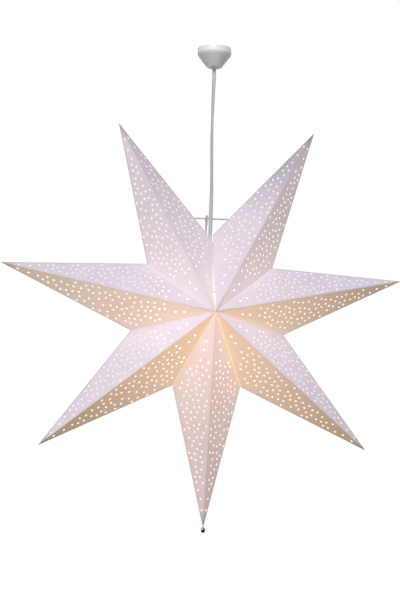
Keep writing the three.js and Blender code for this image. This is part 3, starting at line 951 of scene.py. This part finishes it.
def rod(radius, start, end, sides=32):
    """A straight round solid between two points"""
    shape = bmesh.new()
    size = {"radius1": radius, "radius2": radius, "depth": (end - start).length}
    bmesh.ops.create_cone(shape, cap_ends=True, segments=sides, matrix=halfway(start, end), **size)
    return shape


def slit_cutter(notch):
    """A long slim bead along the valley, which leaves the slit"""
    ends = [STAR_CENTRE + notch.lerp(FRONT_APEX, share) for share in SLIT_SHARES]
    shape = bmesh.new()
    bmesh.ops.create_uvsphere(shape, u_segments=24, v_segments=24, radius=0.5)
    scale = Matrix.Diagonal((SLIT_WIDTH, SLIT_WIDTH, (ends[1] - ends[0]).length, 1))
    shape.transform(halfway(*ends) @ scale)
    return shape


def seam_cutters(front, tip, high):
    """What is cut out at the seam: the flex's opening and, at the back, the wire's slot"""
    radius = FRONT_OPENING_RADIUS if front else BACK_OPENING_RADIUS
    ends = [STAR_CENTRE + Vector((0, 0, NOTCH_RADIUS * share)) for share in (0.5, 1.5)]
    cutters = [rod(radius, *ends)]
    if not front:
        side = high.lerp(tip, (WIRE_HEIGHT - high.z) / (tip.z - high.z)).x
        slot = bmesh.new()
        bmesh.ops.create_cube(slot, size=1.0)
        scale = Matrix.Diagonal((SLOT_LENGTH, SLOT_LENGTH, SLOT_HEIGHT, 1))
        turn = Matrix.Rotation(atan2(side, 2 * WIRE_HEIGHT), 4, "Y")
        place = STAR_CENTRE + Vector((side, WIRE_SET_BACK, WIRE_HEIGHT))
        slot.transform(Matrix.Translation(place) @ turn @ scale)
        cutters.append(slot)
    return cutters


def apply_modifier(piece, modifier):
    """Makes what the modifier shows the piece's own mesh"""
    bpy.context.view_layer.update()
    graph = bpy.context.evaluated_depsgraph_get()
    piece.data = bpy.data.meshes.new_from_object(piece.evaluated_get(graph), depsgraph=graph)
    piece.modifiers.remove(modifier)


def cut(piece, cutters):
    """Takes each cutter out of the piece"""
    for cutter in cutters:
        mesh = bpy.data.meshes.new("cutter")
        cutter.to_mesh(mesh)
        cutter.free()
        tool = add_object("cutter", mesh)
        boolean = piece.modifiers.new("cut", "BOOLEAN")
        boolean.object = tool
        boolean.solver = "EXACT"
        apply_modifier(piece, boolean)
        bpy.data.objects.remove(tool)


def add_facet(name, group, sockets, sizes):
    """The pierced sheet of one facet, lying flat"""
    facet = add_object(f"{name}_paper", bpy.data.meshes.new(name))
    modifier = facet.modifiers.new("pierced facet", "NODES")
    modifier.node_group = group
    for key, value in sizes.items():
        modifier[sockets[key]] = value
    apply_modifier(facet, modifier)
    return facet


def add_star():
    group, sockets = facet_tree()
    for name, apex, tip, notch, seam_side in star_facets():
        front = apex.y < 0
        seam = seam_side if front else 0
        place, outward = facet_place(apex, tip, notch)
        hand = "right" if outward * (1 if front else -1) > 0 else "left"
        # A front facet at the seam is cut where it meets its end, past the notch
        share = (SEAM_REACH[seam] - tip.x) / (notch.x - tip.x) if seam else 1.0
        flat_notch = (NOTCH_ALONG * share, NOTCH_ACROSS * share)
        facet = add_facet(name, group, sockets, {
            **SHARED_SIZES, "Notch Along": flat_notch[0], "Notch Across": flat_notch[1],
            "Valley Margin": SEAM_MARGIN.get(seam, VALLEY_MARGIN),
            "Seed": PATTERN_SEEDS[hand], "Outward": float(outward),
        })
        mitre(facet.data, outward, flat_notch)
        place = Matrix.Translation(STAR_CENTRE) @ place
        facet.data.transform(place)
        if seam_side:
            cut(facet, seam_cutters(front, tip, notch))
        if seam < 0:
            cut(facet, [slit_cutter(tip.lerp(notch, share))])
        mark_sheet(facet.data, place, flat_notch, outward_normal(apex, tip, notch).z, float(seam))
        settle_piece(facet, name, name, "paper")


add_star()


# Round pieces
def rounded(profile, radius):
    """A closed profile with each corner that is off the axis rounded"""
    points = [Vector(point) for point in profile]
    softened = []
    for i, corner in enumerate(points):
        before = points[i - 1]
        after = points[(i + 1) % len(points)]
        reach = min(radius, (before - corner).length / 2.2, (after - corner).length / 2.2)
        if corner.x < 1e-7 or reach < 1e-6:
            softened.append(corner)
            continue
        start = corner + (before - corner).normalized() * reach
        end = corner + (after - corner).normalized() * reach
        for t in (0.0, 0.25, 0.5, 0.75, 1.0):
            softened.append(start * (1 - t) ** 2 + corner * 2 * t * (1 - t) + end * t ** 2)
    return softened


def revolve(name, profile, height, sides, swell):
    """A solid of revolution from points of its profile. Where swell(angle, height) is
    given, it is how far a point stands out further."""
    shape = bmesh.new()
    rings = []
    for k in range(sides):
        angle = 2 * pi * k / sides
        ring = []
        for r, z in profile:
            out = r + swell(angle, z) if swell and r > 0 else r
            ring.append(shape.verts.new((out * cos(angle), out * sin(angle), z + height)))
        rings.append(ring)
    skin(shape, [*rings, rings[0]])
    bmesh.ops.remove_doubles(shape, verts=shape.verts, dist=1e-7)
    bmesh.ops.dissolve_degenerate(shape, edges=shape.edges, dist=1e-8)
    return add_solid(name, shape)


def flutes(count, depth, low, high):
    """Upright grooves between two heights"""
    def swell(angle, height):
        if not low < height < high:
            return 0.0
        return -depth * (0.5 - 0.5 * cos(count * angle)) ** 2
    return swell


def thread(depth, low, high):
    """A screw thread that runs out at both ends"""
    def swell(angle, height):
        fade = min(1.0, max(0.0, min(height - low, high - height) / (BULB_PITCH * 0.5)))
        wave = 0.5 + 0.5 * cos(2 * pi * height / BULB_PITCH - angle)
        return fade * depth * wave ** 0.8
    return swell


def upright(radius, start, end, steps):
    """Points straight up or down at one radius, for a face that swells"""
    return [(radius, start + (end - start) * i / steps) for i in range(steps + 1)]


# How each round piece is drawn: from its node's radius and height to its profile
# above its lowest point and to how it swells
def half_circle(radius, height, steps, first=0):
    """A profile down a ball, to the axis below"""
    profile = []
    for i in range(first, steps + 1):
        angle = pi * i / steps
        profile.append((max(0.0, radius * sin(angle)), height / 2 * (1 + cos(angle))))
    profile[-1] = (0, 0)
    return profile


def bead(radius, top):
    """The chrome bead that hangs from the bottom tip"""
    return [(0, top), (BEAD_NECK_RADIUS, top)] + half_circle(radius, top - BEAD_NECK_LENGTH, 24, 2), None


def grip(radius, top):
    stem = GRIP_STEM / 2
    bore = FLEX_WIDTH / 2 + FLEX_CLEARANCE
    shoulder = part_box("holder_cap")[1].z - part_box("cord_grip")[0].z
    under = shoulder + GAP
    profile = [(bore, top), (radius * 0.55, top), (radius * 0.78, top - 0.0012), (radius, top - 0.0042)]
    profile += upright(radius, top - 0.0052, shoulder + 0.0009, 10)
    profile += [(radius * 0.92, under), (stem, under), (stem, 0), (bore, 0)]
    return profile, flutes(16, 0.0005, shoulder + 0.001, top - 0.005)


def cap(radius, top):
    neck = CAP_TOP / 2
    bore = GRIP_STEM / 2 + GAP
    inner = radius - WALL
    profile = [(bore, top), (neck, top)]
    for i in range(1, 9):
        angle = pi / 2 * i / 9
        out = neck + (radius - neck) * sin(angle)
        profile.append((out, CAP_BAND + (top - CAP_BAND) * cos(angle)))
    profile += upright(radius, CAP_BAND, 0.0003, 6)
    profile += [(inner, 0), (inner, CAP_BAND - WALL), (neck, top - WALL), (bore, top - WALL)]
    return profile, flutes(36, 0.00035, 0.0002, CAP_BAND)


def skirt(radius, top):
    inner = radius - WALL
    waist = radius - 0.0003
    profile = [(inner, top), (radius, top), (radius, top - 0.0016), (waist, top - 0.0019)]
    profile += [(waist, top - 0.0027), (radius, top - 0.003), (radius, 0.0026)]
    return profile + [(radius - 0.0004, 0.001), (radius - 0.0008, 0), (inner, 0)], None


def insert(radius, top):
    profile = [(0, top), (radius * 0.3, top), (radius * 0.34, top - 0.0008), (radius * 0.66, top - 0.0008)]
    return profile + [(radius * 0.7, top), (radius, top), (radius, 0), (0, 0)], None


def shell(radius, top):
    profile = upright(radius - SHELL_WALL, 0, top, 48) + upright(radius - 0.0002, top, 0, 48)
    return profile, thread(SHELL_THREAD, 0.0008, top - 0.0008)


def contact(radius, top):
    return [(0, top), (radius, top), (radius, top * 0.35), (radius * 0.55, 0), (0, 0)], None


def base(radius, top):
    root = radius - BULB_THREAD
    end = top - 0.0022
    profile = [(0, top), (root * 0.72, top), (root * 0.9, top - 0.0012)]
    return profile + upright(root, end, 0, 60) + [(0, 0)], thread(BULB_THREAD, 0.0018, end)


def button(radius, top):
    return [(0, top), (radius * 0.5, top), (radius, top * 0.35), (radius, 0), (0, 0)], None


def pear(radius, top, wall):
    """The outline of the glass from its neck down, set in by its wall"""
    outline = []
    steps = 18
    neck = NECK / 2
    for i in range(steps):
        share = i / steps
        blend = (1 - cos(pi * share)) / 2
        outline.append((neck + (radius - neck) * blend - wall, top - (top - radius) * share))
    for i in range(steps + 1):
        angle = pi / 2 * i / steps
        outline.append(((radius - wall) * cos(angle), radius - (radius - wall) * sin(angle)))
    outline[-1] = (0, wall)
    return outline


def glass(radius, top):
    return pear(radius, top, 0.0) + pear(radius, top, GLASS_WALL)[::-1], None


def cup(rim, top):
    shoulder = top * 0.66
    mouth = CUP_MOUTH / 2
    floor = 2 * CUP_WALL
    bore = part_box("cord_grommet")[1].x + GAP
    profile = [(rim - CUP_WALL, top), (rim, top), (rim, shoulder + 0.001)]
    for i in range(1, 8):
        share = i / 8
        bulge = CUP_BULGE * sin(pi * share)
        profile.append((rim + (mouth - rim) * share + bulge, shoulder * (1 - share) + bulge))
    profile += [(mouth, 0), (bore, 0), (bore, floor), (mouth - CUP_WALL, floor)]
    return profile + [(rim - CUP_WALL, shoulder)], None


def grommet(radius, top):
    """The ball that the flex swings on"""
    return half_circle(radius, 2 * radius, 32), None


# Each round piece: its name, node, body and slot, its number of sides, how far
# its corners are rounded and how it is drawn
ROUND_PIECES = [
    ("bead", "tip_bead", "lamp", "dark_chrome", 48, 0, bead),
    ("grip", "cord_grip", "lamp", "white_plastic", 96, 0.0006, grip),
    ("cap", "holder_cap", "lamp", "white_plastic", 144, 0.0005, cap),
    ("skirt", "holder_skirt", "lamp", "white_plastic", 96, 0.0004, skirt),
    ("insert", "holder_insert", "lamp", "ceramic", 64, 0.0003, insert),
    ("shell", "screw_shell", "lamp", "brass", 64, 0, shell),
    ("contact", "centre_contact", "lamp", "brass", 48, 0.0004, contact),
    ("base", "bulb_base", "bulb", "nickel", 72, 0, base),
    ("button", "bulb_button", "bulb", "brass", 48, 0.0004, button),
    ("glass", "bulb_glass", "bulb", "warm_glass", 64, 0, glass),
    ("cup", "ceiling_cup", "ceiling", "white_plastic", 96, 0.0008, cup),
    ("grommet", "cord_grommet", "grommet", "white_rubber", 64, 0, grommet),
]
for name, node, body, slot, sides, soften, draw in ROUND_PIECES:
    low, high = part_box(node)
    profile, swell = draw(high.x, high.z - low.z)
    if soften:
        profile = rounded(profile, soften)
    settle_piece(revolve(name, profile, low.z, sides, swell), node, body, slot)


def add_wire():
    low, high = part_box("closing_wire")
    middle = (low + high) / 2
    ends = [Vector((x, middle.y, middle.z)) for x in (low.x, high.x)]
    wire = add_solid("closing_wire_drawn", rod(WIRE_DIAMETER / 2, *ends, 16))
    settle_piece(wire, "closing_wire", "lamp", "wire")


add_wire()


# Pieces of the solid model that stay, with their finishes
KEPT = {
    "ceiling_plate": "steel",
    "ceiling_screw_left": "steel",
    "ceiling_screw_right": "steel",
    "terminal_block": "white_plastic",
    "terminal_screw_left": "brass",
    "terminal_screw_right": "brass",
    "bulb_filament": "glowing_filament",
}
for name, finish in KEPT.items():
    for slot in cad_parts[name].material_slots:
        slot.material = FINISHES[finish]


# Room
def add_floor():
    """A pale floor well below the star, which keeps its shadow"""
    shape = bmesh.new()
    place = Matrix.Translation((0, 0, FLOOR_HEIGHT))
    bmesh.ops.create_circle(shape, cap_ends=True, segments=96, radius=FLOOR_RADIUS, matrix=place)
    floor = add_solid("floor", shape)
    tree = Finish("pale floor", Base_Color=FLOOR_TONE, Roughness=1.0, Emission_Strength=FLOOR_LIGHT)
    seen = tree.add("ShaderNodeLightPath", output="Is Camera Ray")
    tree.dress(Emission_Color=tree.tint((1.0, 1.0, 1.0), seen))
    floor.data.materials.append(tree.made)


def add_lamp(name, azimuth, elevation, level):
    """A soft lamp that lights a white surface facing it to that level"""
    data = bpy.data.lights.new(name, "AREA")
    data.shape = "DISK"
    data.size = LAMP_SIZE
    data.energy = level * (pi * LAMP_DISTANCE) ** 2
    lamp = add_object(name, data)
    outward = heading(azimuth, elevation)
    lamp.location = STAR_CENTRE + outward * LAMP_DISTANCE
    lamp.rotation_euler = outward.to_track_quat("Z", "Y").to_euler()


def add_world():
    """A room that lights softly and is white where it is seen"""
    world = bpy.data.worlds.new("room")
    world.use_nodes = True
    world.node_tree.nodes.clear()
    tree = Tree(world.node_tree)
    camera, glossy, through = [
        tree.add("ShaderNodeLightPath", output=f"Is {kind} Ray")
        for kind in ("Camera", "Glossy", "Transmission")
    ]
    soft, white = [
        tree.add("ShaderNodeBackground", {"Color": (1.0, 1.0, 1.0), "Strength": strength})
        for strength in (ROOM_LIGHT, 1.0)
    ]
    shown = tree.add("ShaderNodeMixShader", {0: camera + glossy + through, 1: soft, 2: white})
    leave = world.node_tree.nodes.new("ShaderNodeOutputWorld")
    tree.feed(leave.inputs["Surface"], shown)
    bpy.context.scene.world = world


add_floor()
for name, setting in LAMPS.items():
    add_lamp(name, *setting)
add_world()
bpy.context.scene.view_settings.view_transform = "Standard"
